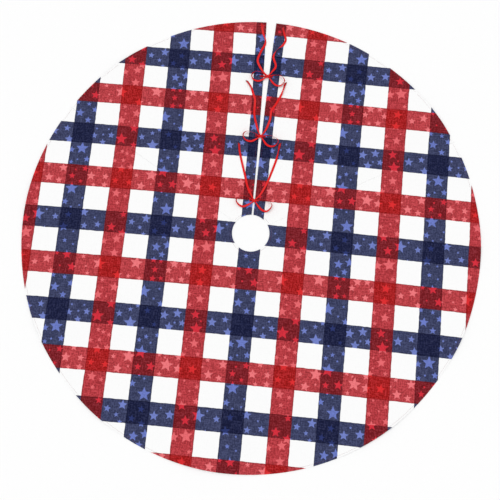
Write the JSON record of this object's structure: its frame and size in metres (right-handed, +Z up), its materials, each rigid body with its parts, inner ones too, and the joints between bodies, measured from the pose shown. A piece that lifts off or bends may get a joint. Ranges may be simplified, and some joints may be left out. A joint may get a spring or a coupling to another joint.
{
  "type": "tree skirt",
  "caption": "Round flat cloth skirt with a trunk hole, a slit to the rim that opens as two folding flaps, and ribbon bows that tie across the slit.",
  "frame": {"origin": "centre of the trunk hole, on the underside of the cloth, which is the surface that the skirt lies on", "axes": "+Z up, out of the printed face; +Y from the hole along the slit to the rim; +X to the right, seen from above"},
  "size_m": [1.22, 1.2198, 0.0065],
  "materials": {
    "printed_cloth": "woven polyester printed with a red, white and blue star plaid",
    "lining": "plain white woven polyester",
    "thread": "spun polyester thread",
    "satin_ribbon": "satin"
  },
  "bodies": {
    "skirt": {"front_panel": "printed_cloth", "backing_panel": "lining", "outer_hem": "printed_cloth", "hole_hem": "printed_cloth", "outer_stitching": "thread", "hole_stitching": "thread"},
    "left_flap": {"left_front_flap": "printed_cloth", "left_backing_flap": "lining", "left_outer_hem": "printed_cloth", "left_hole_hem": "printed_cloth", "left_slit_hem": "printed_cloth", "left_outer_stitching": "thread", "left_hole_stitching": "thread", "left_slit_stitching": "thread", "left_bar_tacks": "thread", "outer_knot": "satin_ribbon", "outer_left_ribbon": "satin_ribbon", "middle_knot": "satin_ribbon", "middle_left_ribbon": "satin_ribbon", "inner_knot": "satin_ribbon", "inner_left_ribbon": "satin_ribbon"},
    "right_flap": {"right_front_flap": "printed_cloth", "right_backing_flap": "lining", "right_outer_hem": "printed_cloth", "right_hole_hem": "printed_cloth", "right_slit_hem": "printed_cloth", "right_outer_stitching": "thread", "right_hole_stitching": "thread", "right_slit_stitching": "thread", "right_bar_tacks": "thread", "outer_right_ribbon": "satin_ribbon", "middle_right_ribbon": "satin_ribbon", "inner_right_ribbon": "satin_ribbon"},
    "outer_left_loop": {"outer_left_loop": "satin_ribbon"},
    "outer_left_tail": {"outer_left_tail": "satin_ribbon"},
    "outer_right_loop": {"outer_right_loop": "satin_ribbon"},
    "outer_right_tail": {"outer_right_tail": "satin_ribbon"},
    "middle_left_loop": {"middle_left_loop": "satin_ribbon"},
    "middle_left_tail": {"middle_left_tail": "satin_ribbon"},
    "middle_right_loop": {"middle_right_loop": "satin_ribbon"},
    "middle_right_tail": {"middle_right_tail": "satin_ribbon"},
    "inner_left_loop": {"inner_left_loop": "satin_ribbon"},
    "inner_left_tail": {"inner_left_tail": "satin_ribbon"},
    "inner_right_loop": {"inner_right_loop": "satin_ribbon"},
    "inner_right_tail": {"inner_right_tail": "satin_ribbon"}
  },
  "joints": [
    {"name": "left_fold", "type": "hinge", "parent": "skirt", "child": "left_flap", "pos_m": [0, 0, 0.0011], "axis": [0.866, -0.5, 0], "range_deg": [0, 165]},
    {"name": "right_fold", "type": "hinge", "parent": "skirt", "child": "right_flap", "pos_m": [0, 0, 0.0011], "axis": [0.866, 0.5, 0], "range_deg": [0, 165]},
    {"name": "outer_left_loop_swing", "type": "hinge", "parent": "left_flap", "child": "outer_left_loop", "pos_m": [0.004, 0.446, 0.0011], "axis": [0, 0, 1], "range_deg": [0, 15]},
    {"name": "outer_left_tail_swing", "type": "hinge", "parent": "left_flap", "child": "outer_left_tail", "pos_m": [0.004, 0.446, 0.0011], "axis": [0, 0, 1], "range_deg": [0, 35]},
    {"name": "outer_right_loop_swing", "type": "hinge", "parent": "right_flap", "child": "outer_right_loop", "pos_m": [0.004, 0.446, 0.0011], "axis": [0, 0, -1], "range_deg": [0, 15]},
    {"name": "outer_right_tail_swing", "type": "hinge", "parent": "right_flap", "child": "outer_right_tail", "pos_m": [0.004, 0.446, 0.0011], "axis": [0, 0, -1], "range_deg": [0, 35]},
    {"name": "middle_left_loop_swing", "type": "hinge", "parent": "left_flap", "child": "middle_left_loop", "pos_m": [0.001, 0.27, 0.0011], "axis": [0, 0, 1], "range_deg": [0, 15]},
    {"name": "middle_left_tail_swing", "type": "hinge", "parent": "left_flap", "child": "middle_left_tail", "pos_m": [0.001, 0.27, 0.0011], "axis": [0, 0, 1], "range_deg": [0, 35]},
    {"name": "middle_right_loop_swing", "type": "hinge", "parent": "right_flap", "child": "middle_right_loop", "pos_m": [0.001, 0.27, 0.0011], "axis": [0, 0, -1], "range_deg": [0, 15]},
    {"name": "middle_right_tail_swing", "type": "hinge", "parent": "right_flap", "child": "middle_right_tail", "pos_m": [0.001, 0.27, 0.0011], "axis": [0, 0, -1], "range_deg": [0, 35]},
    {"name": "inner_left_loop_swing", "type": "hinge", "parent": "left_flap", "child": "inner_left_loop", "pos_m": [0.001, 0.088, 0.0011], "axis": [0, 0, 1], "range_deg": [0, 15]},
    {"name": "inner_left_tail_swing", "type": "hinge", "parent": "left_flap", "child": "inner_left_tail", "pos_m": [0.001, 0.088, 0.0011], "axis": [0, 0, 1], "range_deg": [0, 35]},
    {"name": "inner_right_loop_swing", "type": "hinge", "parent": "right_flap", "child": "inner_right_loop", "pos_m": [0.001, 0.088, 0.0011], "axis": [0, 0, -1], "range_deg": [0, 15]},
    {"name": "inner_right_tail_swing", "type": "hinge", "parent": "right_flap", "child": "inner_right_tail", "pos_m": [0.001, 0.088, 0.0011], "axis": [0, 0, -1], "range_deg": [0, 35]}
  ],
  "couplings": [
    {"joint": "right_fold", "follows": "left_fold", "ratio": 1}
  ]
}
